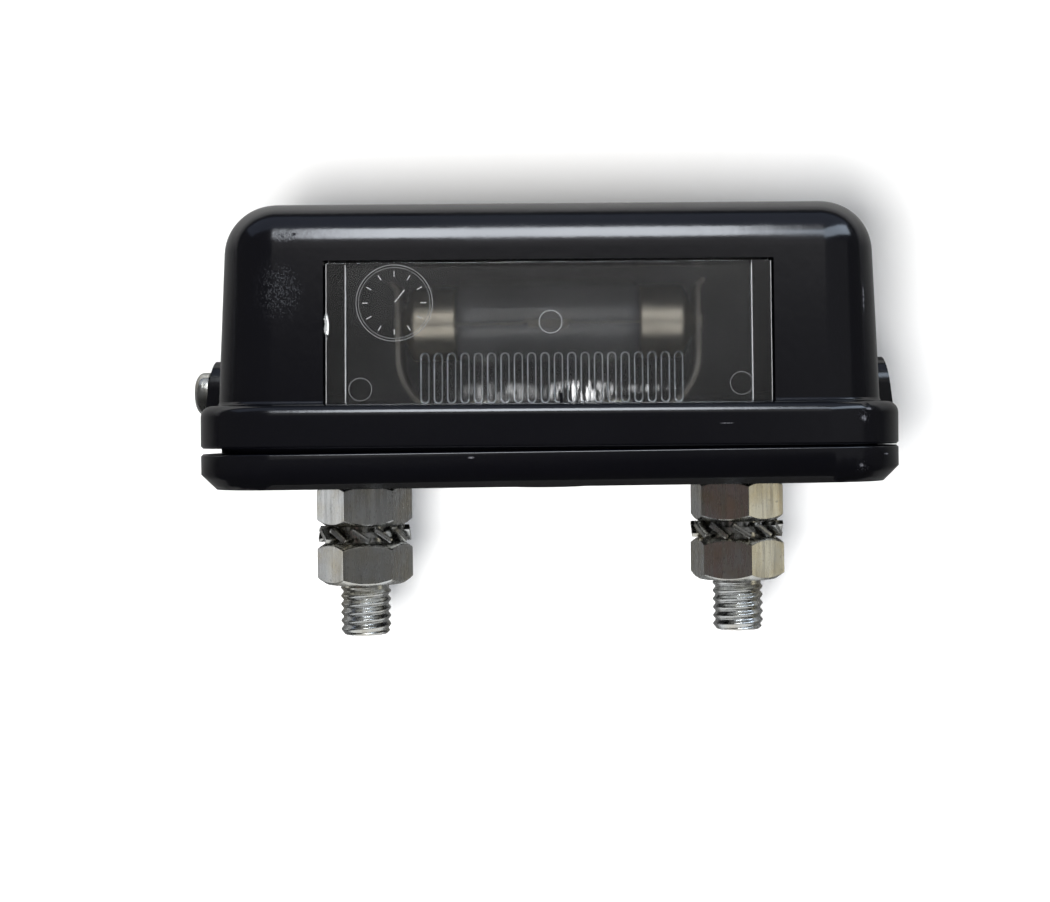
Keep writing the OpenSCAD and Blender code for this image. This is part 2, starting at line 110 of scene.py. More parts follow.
def vectorMath(tree, operation, a, b=(0, 0, 0)):
    return addNode(tree, "ShaderNodeVectorMath", {0: a, 1: b}, operation=operation).outputs


def noise(tree, place, scale, detail=3.0, rough=0.5, stretch=(1, 1, 1)):
    mapping = addNode(tree, "ShaderNodeMapping", {"Vector": place, "Scale": stretch})
    return addNode(tree, "ShaderNodeTexNoise", {
        "Vector": mapping.outputs[0], "Scale": scale, "Detail": detail, "Roughness": rough,
    }).outputs["Fac"]


def remap(tree, value, low, high, toLow=0.0, toHigh=1.0, kind="LINEAR"):
    return addNode(tree, "ShaderNodeMapRange", {
        "Value": value, "From Min": low, "From Max": high, "To Min": toLow, "To Max": toHigh,
    }, interpolation_type=kind).outputs["Result"]


def blend(tree, factor, a, b):
    a, b = ((*value, 1) if isinstance(value, tuple) else value for value in (a, b))
    return addNode(tree, "ShaderNodeMix", {0: factor, 6: a, 7: b}, data_type="RGBA").outputs[2]


def bump(tree, height, strength, distance, normal=None):
    inputs = {"Height": height, "Strength": strength, "Distance": distance * mm}
    if normal:
        inputs["Normal"] = normal
    return addNode(tree, "ShaderNodeBump", inputs).outputs["Normal"]


# strongest of some marks, each with its centre and radii in mm and, where it is faint, its share
def blotches(tree, place, marks, soft):
    top = None
    for centre, radii, *share in marks:
        away = vectorMath(tree, "SUBTRACT", place, [c * mm for c in centre])
        scaled = vectorMath(tree, "DIVIDE", away[0], [r * mm for r in radii])
        value = remap(tree, vectorMath(tree, "LENGTH", scaled[0])["Value"], 1.0, 1.0 - soft, kind="SMOOTHSTEP")
        if share:
            value = math2(tree, "MULTIPLY", value, share[0])
        top = math2(tree, "MAXIMUM", top, value) if top else value
    return top


# finishes: noises are given as scale, detail, roughness and stretch, bumps as strength and height in mm, and
# levels are those between which a noise takes effect
cloudLevels = (0.3, 0.7)

# black gloss of the hood and base
housingFinish = {
    "cloud": (70, 2), "fine": (650, 3, 0.6), "speck": (5200, 2, 0.6, (1, 1, 0.7)),
    "colour": (0.0013, 0.0013, 0.0020), "roughness": (0.13, 0.19), "dulled": 0.3, "ior": 1.5,
    "wave": (0.25, 0.10), "grain": (0.4, 0.034), "dent": (0.6, 0.08), "wornDent": -0.4, "pitSoft": 0.8,
    "rubbed": (0.007, 0.007, 0.0085), "rubbedSoft": 0.9, "rubbedLevels": (0.50, 0.64),
    "rubbedMarks": [
        ((-29.4, -18.4, 21.9), (4.0, 2.6, 5.0)), ((-28.9, -17.9, 27.9), (1.7, 1.4, 0.9)),
        ((34.2, -20.1, 1.5), (1.5, 1.1, 1.3)), ((34.2, -20.1, 7.2), (1.3, 0.9, 1.2)),
    ],
    # scratch: lighter scratches and chips; the mark at x -8.5 under the seam is a painted glint of light on a
    # moulding nub
    "scratch": (0.10, 0.10, 0.11), "scratchAndGlintSoft": 0.7, "scratchAndGlintLevels": (0.35, 0.6),
    "scratchesAndGlint": [
        ((35.0, -16.5, 20.4), (0.13, 0.8, 2.1)), ((34.9, -19.8, 8.0), (0.7, 0.6, 0.16)),
        ((37.0, -18.1, 3.05), (0.5, 0.6, 0.12)), ((19.2, -21.0, 6.66), (0.9, 0.4, 0.08)),
        ((34.6, -20.0, 1.1), (0.6, 0.6, 0.16)), ((33.8, -20.1, 1.9), (0.3, 0.6, 0.3)),
        ((34.2, -20.1, 7.0), (0.4, 0.7, 0.4)), ((-8.5, -21.0, 3.3), (0.45, 0.5, 0.14)),
    ],
    "pits": [
        ((11.0, -17.6, 27.4), (0.26, 0.4, 0.22)), ((-27.9, -17.9, 28.1), (0.3, 0.4, 0.2)),
        ((34.5, -19.6, 8.5), (0.55, 0.8, 0.4)), ((34.9, -20.0, 1.6), (0.4, 0.6, 0.5)),
    ],
}


def housingMaterial(finish):
    material, tree, shader, place = newMaterial("black gloss moulding")
    cloud, fine, speck = (noise(tree, place, *finish[key]) for key in ("cloud", "fine", "speck"))
    rubbed = blotches(tree, place, finish["rubbedMarks"], finish["rubbedSoft"])
    worn = math2(tree, "MULTIPLY", rubbed, remap(tree, speck, *finish["rubbedLevels"]), clamp=True)
    # lighter scratches and chips, and among them one painted glint under the seam
    rough = blotches(tree, place, finish["scratchesAndGlint"], finish["scratchAndGlintSoft"])
    scratchedAndGlinting = math2(tree, "MULTIPLY", rough, remap(tree, speck, *finish["scratchAndGlintLevels"]), clamp=True)
    pitted = blotches(tree, place, finish["pits"], finish["pitSoft"])
    colour = blend(tree, worn, finish["colour"], finish["rubbed"])
    smooth = remap(tree, cloud, *cloudLevels, *finish["roughness"])
    dull = math2(tree, "MULTIPLY", math2(tree, "MAXIMUM", worn, scratchedAndGlinting), finish["dulled"])
    grain = bump(tree, fine, *finish["grain"], bump(tree, cloud, *finish["wave"]))
    dents = math2(tree, "SUBTRACT", math2(tree, "MULTIPLY", worn, finish["wornDent"]), pitted)
    setInputs(tree, shader, {
        "Base Color": blend(tree, scratchedAndGlinting, colour, finish["scratch"]),
        "Roughness": math2(tree, "ADD", smooth, dull),
        "Normal": bump(tree, dents, *finish["dent"], grain),
        "IOR": finish["ior"],
    })
    return material


# zinc plate on the studs, nuts, washers and screws
zincFinish = {
    "cloud": (220, 4, 0.6), "streak": (500, 4, 0.6, (3, 3, 0.25)), "pits": (1900, 3, 0.6),
    "silver": (0.66, 0.67, 0.66), "straw": (0.60, 0.56, 0.46), "grey": (0.36, 0.36, 0.35),
    "strawLevels": (0.42, 0.68), "greyLevels": (0.60, 0.72, 0.0, 0.7), "roughness": (0.16, 0.36),
    "streakBump": (0.18, 0.012), "pitBump": (0.25, 0.012),
}


def zincMaterial(finish):
    material, tree, shader, place = newMaterial("zinc plate")
    cloud, streak, pits = (noise(tree, place, *finish[key]) for key in ("cloud", "streak", "pits"))
    tint = blend(tree, remap(tree, cloud, *finish["strawLevels"]), finish["silver"], finish["straw"])
    setInputs(tree, shader, {
        "Base Color": blend(tree, remap(tree, pits, *finish["greyLevels"]), tint, finish["grey"]),
        "Metallic": 1,
        "Roughness": remap(tree, streak, *cloudLevels, *finish["roughness"]),
        "Normal": bump(tree, pits, *finish["pitBump"], bump(tree, streak, *finish["streakBump"])),
    })
    return material


# plain finishes: clouds between two colours, and a fine grain
plainFinishes = {
    "nickel plate": {
        "cloud": (300, 3), "colours": ((0.93, 0.86, 0.72), (0.86, 0.78, 0.63)), "metallic": 1,
        "roughness": (0.28, 0.45), "grain": (700, 3, 0.6, (0.2, 3, 3)), "bump": 0.2,
    },
    # the contact leaves' nickel plate made darker: painted shade inside the hood
    "darkened nickel": {
        "cloud": (260, 3), "colours": ((0.40, 0.37, 0.33), (0.28, 0.26, 0.22)), "metallic": 1,
        "roughness": (0.40, 0.55), "grain": (1500, 2), "bump": 0.2,
    },
    "black rubber": {
        "cloud": (500, 3), "colours": ((0.020, 0.020, 0.021), (0.034, 0.033, 0.032)), "metallic": 0,
        "roughness": (0.55, 0.75), "grain": (3000, 2), "bump": 0.3,
    },
    "drawn wire": {
        "cloud": (900, 2), "colours": ((0.80, 0.72, 0.56), (0.92, 0.86, 0.70)), "metallic": 0.1,
        "roughness": (0.3, 0.45),
    },
}
grainHeight = 0.01


def plainMaterial(name):
    finish = plainFinishes[name]
    material, tree, shader, place = newMaterial(name)
    cloud = noise(tree, place, *finish["cloud"])
    setInputs(tree, shader, {
        "Base Color": blend(tree, cloud, *finish["colours"]), "Metallic": finish["metallic"],
        "Roughness": remap(tree, cloud, *cloudLevels, *finish["roughness"]),
    })
    if "grain" in finish:
        grain = noise(tree, place, *finish["grain"])
        setInputs(tree, shader, {"Normal": bump(tree, grain, finish["bump"], grainHeight)})
    return material


# clear mouldings; the lens is chipped at its left edge, and its pale patches below the bulb are a painted
# reflection
lensFinish = {
    "colour": (0.95, 0.945, 0.94), "ior": 1.49, "roughness": 0.10, "clarity": 0.995, "scratch": 0.15,
    "chipAndGlare": 0.12, "chips": [((-24.4, -18.4, 17.9), (0.42, 0.8, 1.75))],
    # rubbed: patches below the bulb, less clear and rougher, a painted reflection of light behind the flutes
    "rubbed": [
        ((3.6, -18.6, 10.3), (4.9, 0.5, 1.6)), ((-5.4, -18.6, 10.3), (6.4, 0.5, 1.5), 0.2),
        ((10.5, -18.6, 10.6), (3.8, 0.5, 0.6), 0.25),
    ],
}
bulbFinish = {"colour": (0.96, 0.955, 0.95), "ior": 1.5, "roughness": 0.08, "clarity": 0.90, "scratch": 0.1}
# what both share, and how the lens's marks break up
clearNoises = {
    "cloud": (150, 3), "cloudLevels": (0.35, 0.7), "uneven": 1.7,
    "lines": (400, 2, 0.5, (0.3, 1, 6)), "lineHeight": 0.004,
    "speck": (1500, 3, 0.6), "chipSoft": 0.5, "chipLevels": (0.40, 0.48),
    "streak": (2600, 3, 0.6, (1, 1, 0.16)), "paintedGlareSoft": 0.8, "paintedGlareLevels": (0.43, 0.62, 0.0, 0.7), "dulled": 0.3,
}


def clearMaterial(name, finish):
    material, tree, shader, place = newMaterial(name)
    shared = clearNoises
    cloud, lines = (noise(tree, place, *shared[key]) for key in ("cloud", "lines"))
    roughness, clarity = finish["roughness"], finish["clarity"]
    rough = remap(tree, cloud, *shared["cloudLevels"], roughness, roughness * shared["uneven"])
    if "chips" in finish:
        speck, streak = (noise(tree, place, *shared[key]) for key in ("speck", "streak"))
        chip = math2(tree, "MULTIPLY", blotches(tree, place, finish["chips"], shared["chipSoft"]),
                     remap(tree, speck, *shared["chipLevels"]), clamp=True)
        # the pale patches below the bulb are a painted reflection
        paintedGlare = math2(tree, "MULTIPLY", blotches(tree, place, finish["rubbed"], shared["paintedGlareSoft"]),
                    remap(tree, streak, *shared["paintedGlareLevels"]), clamp=True)
        chipAndGlare = math2(tree, "MAXIMUM", chip, paintedGlare)
        clarity = remap(tree, chipAndGlare, 0, 1, clarity, finish["chipAndGlare"])
        rough = math2(tree, "ADD", rough, math2(tree, "MULTIPLY", chipAndGlare, shared["dulled"]), clamp=True)
    setInputs(tree, shader, {
        "Base Color": (*finish["colour"], 1), "IOR": finish["ior"], "Transmission Weight": clarity,
        "Roughness": rough, "Normal": bump(tree, lines, finish["scratch"], shared["lineHeight"]),
    })
    return material


# moulded edges and marks in the lens: the light that catches on them is painted in as a pale, half-clear finish
glintFinish = {"cloud": (700, 3), "clarity": 0.25, "roughness": (0.25, 0.45)}


def glintMaterial(name, colour):
    material, tree, shader, place = newMaterial(name)
    cloud = noise(tree, place, *glintFinish["cloud"])
    setInputs(tree, shader, {
        "Base Color": (*colour, 1), "Transmission Weight": glintFinish["clarity"], "IOR": lensFinish["ior"],
        "Roughness": remap(tree, cloud, *cloudLevels, *glintFinish["roughness"]),
    })
    return material


finishes = {
    "housing": housingMaterial(housingFinish),
    "lens": clearMaterial("clear moulding", lensFinish),
    "bulb_glass": clearMaterial("bulb glass", bulbFinish),
    "rubber": plainMaterial("black rubber"),
    "zinc_plated": zincMaterial(zincFinish),
    "nickel_plated": plainMaterial("nickel plate"),
    "wire": plainMaterial("drawn wire"),
}
shadedNickel = plainMaterial("darkened nickel")
# painted glints at three strengths: flute flanks and inner edges; outer edges, ridges, ticks and crumbs; rings
fluteGlint = glintMaterial("painted glint on flutes", (0.92, 0.93, 0.93))
edgeGlint = glintMaterial("painted glint on edges", (0.30, 0.30, 0.30))
markGlint = glintMaterial("painted glint on marks", (0.20, 0.20, 0.20))
print("materials ready")


# meshes
def addPiece(name, form, slot):
    mesh = bpy.data.meshes.new(name)
    form.to_mesh(mesh)
    form.free()
    piece = bpy.data.objects.new(name, mesh)
    scene.collection.objects.link(piece)
    mesh.materials.append(finishes[slot])
    return piece


def settle(piece):
    graph = bpy.context.evaluated_depsgraph_get()
    done = piece.evaluated_get(graph)
    mesh = bpy.data.meshes.new_from_object(done, preserve_all_data_layers=True, depsgraph=graph)
    piece.modifiers.clear()
    old, piece.data = piece.data, mesh
    bpy.data.meshes.remove(old)
    mesh.name = piece.name


def carve(piece, tool, operation="DIFFERENCE"):
    step = piece.modifiers.new("carve", "BOOLEAN")
    step.object = tool
    step.operation = operation
    step.solver = "EXACT"
    step.material_mode = "TRANSFER"
    settle(piece)
    bpy.data.objects.remove(tool)


def soften(piece, width, angle=40, segments=2, material=-1):
    step = piece.modifiers.new("soften", "BEVEL")
    step.width = width * mm
    step.material = material
    step.segments = segments
    step.limit_method = "ANGLE"
    step.angle_limit = math.radians(angle)
    settle(piece)


def shadeEven(piece, angle=30):
    piece.data.shade_smooth()
    piece.data.set_sharp_from_angle(angle=math.radians(angle))
    step = piece.modifiers.new("even", "WEIGHTED_NORMAL")
    step.keep_sharp = True
    step.weight = 100
    settle(piece)


def moved(piece, matrix):
    piece.data.transform(matrix)
    piece.data.update()


def joined(pieces):
    with bpy.context.temp_override(active_object=pieces[0], selected_editable_objects=pieces):
        bpy.ops.object.join()
    return pieces[0]


def fixed(piece, name, node):
    piece.name = piece.data.name = name
    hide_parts(node)
    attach(piece, "root")
    return piece


def boxForm(low, high):
    form = bmesh.new()
    bmesh.ops.create_cube(form, size=1)
    for v in form.verts:
        v.co = Vector([(l + (h - l) * (c + 0.5)) * mm for l, h, c in zip(low, high, v.co)])
    return form


# turned form about Z from (radius, height) pairs, both ends closed
def turnedForm(points, steps=64):
    form = bmesh.new()
    rings = []
    for radius, height in points:
        if radius < 1e-6:
            rings.append([form.verts.new((0, 0, height * mm))])
        else:
            angles = [math.tau * i / steps for i in range(steps)]
            rings.append([
                form.verts.new((radius * mm * math.cos(a), radius * mm * math.sin(a), height * mm)) for a in angles
            ])
    for a, b in zip(rings, rings[1:]):
        for i in range(steps):
            j = (i + 1) % steps
            if len(a) == len(b) == 1:
                break
            if len(a) == 1:
                form.faces.new((a[0], b[j], b[i]))
            elif len(b) == 1:
                form.faces.new((a[i], a[j], b[0]))
            else:
                form.faces.new((a[i], a[j], b[j], b[i]))
    return form


def roundTurn(cx, cz, radius, start, end, steps):
    angles = [math.radians(start + (end - start) * i / steps) for i in range(steps + 1)]
    return [(cx + radius * math.cos(a), cz + radius * math.sin(a)) for a in angles]


# block between levels: every level is its distance in from the outline and its height
def levelForm(length, depth, radius, levels, cornerSteps=24):
    form = bmesh.new()
    rings = []
    for inset, height in levels:
        ring = []
        for sx, sy, first in ((1, -1, -90), (1, 1, 0), (-1, 1, 90), (-1, -1, 180)):
            for i in range(cornerSteps + 1):
                angle = math.radians(first + 90 * i / cornerSteps)
                ring.append(form.verts.new((
                    (sx * (length / 2 - radius) + (radius - inset) * math.cos(angle)) * mm,
                    (sy * (depth / 2 - radius) + (radius - inset) * math.sin(angle)) * mm,
                    height * mm,
                )))
        rings.append(ring)
    return form, rings


def skin(form, rings):
    for a, b in zip(rings, rings[1:]):
        count = len(a)
        for i in range(count):
            j = (i + 1) % count
            form.faces.new((a[i], a[j], b[j], b[i]))


# closed prism between two ends with the same number of corners, in mm
def prismForm(near, far):
    form = bmesh.new()
    ends = [[form.verts.new([c * mm for c in corner]) for corner in corners] for corners in (near, far)]
    skin(form, ends)
    for end in ends:
        form.faces.new(end)
    bmesh.ops.recalc_face_normals(form, faces=form.faces)
    return form


# hood: one shell from level rings, open at the left by the lift, then cut for the window and its sill
cover = {
    "length": 79, "depth": 42, "corner": 9.25, "low": 4.12, "lip": 0.25, "flangeTop": 8.92, "flangeFillet": 1.3,
    "step": 2, "crease": 0.35, "top": 31.6, "wall": 2, "draft": 2.5, "fillet": 5.8, "lift": 0.5,
    "windowWidth": 49.5, "windowHeight": 15.8, "skirtInset": 2.1, "skirtTop": 7.0,
    "cutFront": -40, "cutBack": -16, "sillFront": -18.825, "sillLow": 2,
}
tilt = math.atan(cover["lift"] / cover["length"])
pivot = Vector((cover["length"] / 2, 0, cover["low"])) * mm
leftOpen = Matrix.Translation(pivot) @ Matrix.Rotation(tilt, 4, "Y") @ Matrix.Translation(-pivot)
lean = math.tan(math.radians(cover["draft"]))
outwards = Matrix.Rotation(math.radians(90), 4, "Y")


def hoodPiece(size):
    step, wall, fillet = size["step"], size["wall"], size["fillet"]
    flat, curve, crease, draft = size["flangeTop"], size["flangeFillet"], size["crease"], size["draft"]

    def wallLevels(low, top, radius, inset, steps):
        turnZ = top - radius
        startZ = turnZ + radius * math.sin(math.radians(draft))
        turnIn = (startZ - low) * lean + radius * math.cos(math.radians(draft))
        return [(inset + turnIn - x, z) for x, z in roundTurn(0, turnZ, radius, draft, 90, steps)]

    levels = [(size["lip"], size["low"]), (0, size["low"] + size["lip"])]
    levels += [(curve - x, z) for x, z in roundTurn(0, flat - curve, curve, 0, 90, 12)]
    levels += [(step - crease + crease * math.sin(a), flat + crease * (1 - math.cos(a)))
               for a in [math.radians(15 * i) for i in range(6)]]
    levels += [(step + (crease + 1) * lean, flat + crease)]
    levels += wallLevels(flat - 1, size["top"], fillet, step, 20)
    topIndex = len(levels) - 1
    levels += wallLevels(size["low"] - 1, size["top"] - wall, fillet - wall, step + wall, 8)[::-1]
    levels += [
        (step + wall + (size["skirtTop"] - size["low"] + 1) * lean, size["skirtTop"]),
        (size["skirtInset"], size["skirtTop"]),
        (size["skirtInset"], size["low"]),
    ]
    form, rings = levelForm(size["length"], size["depth"], size["corner"], levels)
    skin(form, rings[: topIndex + 1])
    skin(form, rings[topIndex + 1:])
    form.faces.new(rings[topIndex])
    form.faces.new(list(reversed(rings[topIndex + 1])))
    skin(form, [rings[-1], rings[0]])
    shell = addPiece("shell", form, "housing")
    half, back = size["windowWidth"] / 2, size["cutBack"]
    for front, low, high in ((size["cutFront"], flat, flat + size["windowHeight"]),
                             (size["sillFront"], size["sillLow"], flat + 1)):
        carve(shell, addPiece("cut", boxForm((-half, front, low), (half, back, high)), "housing"))
    return shell


# round bosses at the ends for the cover screws; the holes are long by the lift
boss = {
    "radius": 3.4, "axis": 11.1, "root": 35.6, "face": 40.6, "slope": 7, "foot": 7.6, "seat": 38.5,
    "headHole": 2.75, "shankHole": 1.65, "outside": 44, "edge": 0.18, "steps": 40,
}


def bossPiece(size, side):
    radius, axis, out = size["radius"], size["axis"], size["outside"]
    outline = roundTurn(0, axis, radius, 0, 180, size["steps"])
    outline = [(radius, size["foot"])] + outline + [(-radius, size["foot"])]
    slope = math.tan(math.radians(size["slope"]))
    near = [(size["root"], y, z) for y, z in outline]
    far = [(size["face"] - (z - axis) * slope, y, z) for y, z in outline]
    piece = addPiece("boss", prismForm(near, far), "housing")
    for key, start in (("headHole", size["seat"]), ("shankHole", size["root"] - 1)):
        for drop in (0, cover["lift"]):
            hole = turnedForm([(0, start), (size[key], start), (size[key], out), (0, out)], 48)
            tool = addPiece("cut", hole, "housing")
            moved(tool, Matrix.Translation((0, 0, (axis - drop) * mm)) @ outwards)
            carve(piece, tool)
    soften(piece, size["edge"])
    if side < 0:
        moved(piece, Matrix.Rotation(math.pi, 4, "Z"))
    return piece


# little flash nub on the flange at the window's foot
nub = {"low": (1.15, -19.25, 8.6), "high": (1.48, -18.95, 10.0)}


def buildHood():
    shell = hoodPiece(cover)
    carve(shell, addPiece("nub", boxForm(nub["low"], nub["high"]), "housing"), "UNION")
    parts = [shell, bossPiece(boss, 1), bossPiece(boss, -1)]
    for piece in parts:
        shadeEven(piece, 35)
    moved(joined(parts), leftOpen)
    return fixed(shell, "hood_moulding", "hood")


hood = buildHood()
print("hood moulded:", len(hood.data.polygons), "faces")


# smooth copies of plain CAD nodes
def smoothCopy(node, name, slot, angle=30):
    form = bmesh.new()
    form.from_mesh(frame["nodes"][node].data)
    bmesh.ops.remove_doubles(form, verts=form.verts, dist=1e-7)
    piece = addPiece(name, form, slot)
    shadeEven(piece, angle)
    return fixed(piece, name, node)


smoothCopy("base_plate", "base_moulding", "housing")
print("base smoothed")


# clear lens: a pane that fills the window, a taller body behind the wall, and a lip round the foot
lens = {
    "length": 49, "front": 18.7, "back": 9.3, "shoulder": 16.5, "wall": 2, "low": 7.22, "paneTop": 24.47,
    "top": 26.55, "lipWidth": 2.2, "lipTop": 8.72, "lipFront": 15.7, "ledge": 0.35, "edge": 0.1,
    "levelFrom": 0.3, "glintBack": -15, "glintInner": 23,
}


def leaningPiece(length, front, back, low, high):
    lowY, highY = (-front + (z - cover["flangeTop"]) * lean for z in (low, high))
    outline = [(lowY, low), (back, low), (back, high), (highY, high)]
    near, far = ([(x, y, z) for y, z in outline] for x in (-length / 2, length / 2))
    return addPiece("part", prismForm(near, far), "lens")


# place on the pane: across, up along the pane, and out from its front
paneTurn = Matrix.Rotation(math.radians(90 - cover["draft"]), 4, "X")
paneFrame = Matrix.Translation((0, -lens["front"] * mm, cover["flangeTop"] * mm)) @ paneTurn
# upright flutes on the pane's inner face, rooted in it and with a painted glint on their flanks
fluteRow = {
    "count": 20, "pitch": 1.476, "width": 1.02, "height": 5.65, "depth": 0.35, "slope": 0.14, "x": 0.3,
    "rise": 0.05, "root": 0.2, "straight": 0.57, "roundness": 0.499, "cornerSteps": 5,
}


def newTree(name, inputs):
    tree = bpy.data.node_groups.new(name, "GeometryNodeTree")
    for label, kind in inputs.items():
        tree.interface.new_socket(label, in_out="INPUT", socket_type="NodeSocket" + kind)
    tree.interface.new_socket("Geometry", in_out="OUTPUT", socket_type="NodeSocketGeometry")
    return tree, tree.nodes.new("NodeGroupInput").outputs, tree.nodes.new("NodeGroupOutput").inputs[0]


def spreadOn(tree, points, part, material, turn=None):
    inputs = {"Points": points.outputs[0], "Instance": part.outputs[0]}
    if turn:
        inputs["Rotation"] = turn.outputs[0]
    spread = addNode(tree, "GeometryNodeInstanceOnPoints", inputs)
    real = addNode(tree, "GeometryNodeRealizeInstances", {0: spread.outputs[0]})
    return addNode(tree, "GeometryNodeSetMaterial", {0: real.outputs[0], "Material": material}).outputs[0]


def grown(name, tree, values):
    piece = bpy.data.objects.new(name, bpy.data.meshes.new(name))
    scene.collection.objects.link(piece)
    step = piece.modifiers.new("grow", "NODES")
    step.node_group = tree
    for item in tree.interface.items_tree:
        if item.item_type == "SOCKET" and item.in_out == "INPUT" and item.name in values:
            step[item.identifier] = values[item.name]
    settle(piece)
    return piece


def fluteTree(row):
    tree, given, out = newTree("flute row", {
        "Count": "Int", "Pitch": "Float", "Width": "Float", "Height": "Float", "Depth": "Float", "Slope": "Float",
        "Material": "Material", "Edge Material": "Material",
    })
    outline = addNode(tree, "GeometryNodeCurvePrimitiveQuadrilateral", {
        "Width": given["Width"], "Height": given["Height"]})
    fillet = addNode(tree, "GeometryNodeFilletCurve", {
        "Curve": outline.outputs["Curve"], "Count": row["cornerSteps"],
        "Radius": math2(tree, "MULTIPLY", given["Width"], row["roundness"]),
    }, mode="POLY")
    fill = addNode(tree, "GeometryNodeFillCurve", {0: fillet.outputs[0]}, mode="NGONS")
    part, top = fill.outputs[0], None
    for share in (row["straight"], 1 - row["straight"]):
        lift = addNode(tree, "GeometryNodeExtrudeMesh", {
            "Mesh": part, "Individual": False, "Offset Scale": math2(tree, "MULTIPLY", given["Depth"], share)})
        if top:
            tree.links.new(top, lift.inputs["Selection"])
        part, top, flank = (lift.outputs[key] for key in ("Mesh", "Top", "Side"))
    # the crown is narrower all round by the slope
    for axis, length in (((1, 0, 0), "Width"), ((0, 1, 0), "Height")):
        narrower = math2(tree, "SUBTRACT", given[length], math2(tree, "MULTIPLY", given["Slope"], 2.0))
        part = addNode(tree, "GeometryNodeScaleElements", {
            "Geometry": part, "Selection": top, "Axis": axis,
            "Scale": math2(tree, "DIVIDE", narrower, given[length]),
        }, scale_mode="SINGLE_AXIS").outputs[0]
    mark = addNode(tree, "GeometryNodeStoreNamedAttribute", {
        "Geometry": part, "Name": "sloped", "Value": flank}, data_type="BOOLEAN", domain="FACE")
    under = addNode(tree, "GeometryNodeFlipFaces", {0: fill.outputs[0]})
    both = addNode(tree, "GeometryNodeJoinGeometry", {0: mark.outputs[0]})
    tree.links.new(under.outputs[0], both.inputs[0])
    closed = addNode(tree, "GeometryNodeMergeByDistance", {0: both.outputs[0], "Distance": 1e-7})
    step = addNode(tree, "ShaderNodeCombineXYZ", {"X": given["Pitch"]})
    line = addNode(tree, "GeometryNodeMeshLine", {"Count": given["Count"], "Offset": step.outputs[0]})
    flutes = spreadOn(tree, line, closed, given["Material"])
    sloped = addNode(tree, "GeometryNodeInputNamedAttribute", {"Name": "sloped"}, data_type="BOOLEAN")
    frost = addNode(tree, "GeometryNodeSetMaterial", {
        0: flutes, "Selection": sloped.outputs["Attribute"], "Material": given["Edge Material"]})
    tree.links.new(frost.outputs[0], out)
    return tree


def fluteStrip(row):
    strip = grown("flutes", fluteTree(row), {
        "Count": row["count"], "Pitch": row["pitch"] * mm, "Width": row["width"] * mm,
        "Height": row["height"] * mm, "Depth": (row["depth"] + row["root"]) * mm, "Slope": row["slope"] * mm,
        "Material": finishes["lens"], "Edge Material": fluteGlint,
    })
    first = row["x"] + (row["count"] - 1) / 2 * row["pitch"]
    place = Vector((first, row["height"] / 2 + row["rise"], row["root"] - lens["wall"])) * mm
    moved(strip, paneFrame @ Matrix.Translation(place) @ Matrix.Rotation(math.pi, 4, "Y"))
    return strip


# low marks standing on the pane's outer face: centre across and up, radius and line width
paneRings = [(-16.95, 11.1, 4.2, 0.07), (-16.95, 11.1, 3.92, 0.05), (0.2, 8.9, 1.25, 0.10),
             (-20.7, 1.6, 1.25, 0.055), (21.1, 2.0, 1.25, 0.055)]
dateTicks = {
    "x": -16.95, "up": 11.1, "count": 12, "inner": 2.9, "outer": 3.5, "width": 0.09, "hand": 1.8, "handTurn": 0.9,
}
markHeight, markRoot = 0.05, -0.1


def onPane(form, material, x, up):
    piece = addPiece("mark", form, "lens")
    piece.data.materials[0] = material
    moved(piece, paneFrame @ Matrix.Translation((x * mm, up * mm, 0)))
    return piece


def markRing(x, up, radius, width):
    inner, outer, edge = radius - width / 2, radius + width / 2, markHeight * 0.4
    ring = turnedForm([(inner, markRoot), (outer, markRoot), (outer, edge), (radius, markHeight), (inner, edge),
                       (inner, markRoot)], 96)
    bmesh.ops.remove_doubles(ring, verts=ring.verts, dist=1e-8)
    return onPane(ring, markGlint, x, up)


# hairline ridges up the pane, over the inner faces of its side walls
ridges = {"across": 22.33, "width": 0.09, "low": 0.1, "high": 15.3}


def ridgePiece(size, side):
    half = size["width"] / 2
    form = boxForm((-half, size["low"], markRoot), (half, size["high"], markHeight))
    return onPane(form, edgeGlint, side * size["across"], 0)


def tickMarks(size):
    form = bmesh.new()
    spans = [(math.tau * i / size["count"], size["inner"], size["outer"]) for i in range(size["count"])]
    spans += [(size["handTurn"], 0.0, size["hand"])]
    for angle, inner, outer in spans:
        made = bmesh.ops.create_cube(form, size=1)
        turn = Matrix.Rotation(angle, 4, "Z") @ Matrix.Translation(((inner + outer) / 2 * mm, 0, 0))
        scale = Matrix.Diagonal(((outer - inner) * mm, size["width"] * mm, 2 * markHeight * mm, 1))
        bmesh.ops.transform(form, matrix=turn @ scale, verts=made["verts"])
    return onPane(form, edgeGlint, size["x"], size["up"])


# crumbs along the break in the lens's left edge
crumbs = {
    "count": 11, "x": -24.5, "y": -18.5, "low": 16.3, "high": 18.9, "small": 0.1, "large": 0.27, "least": 0.6,
    "rough": (0.7, 1.1), "stray": (-0.04, 0.08), "seed": 7,
}


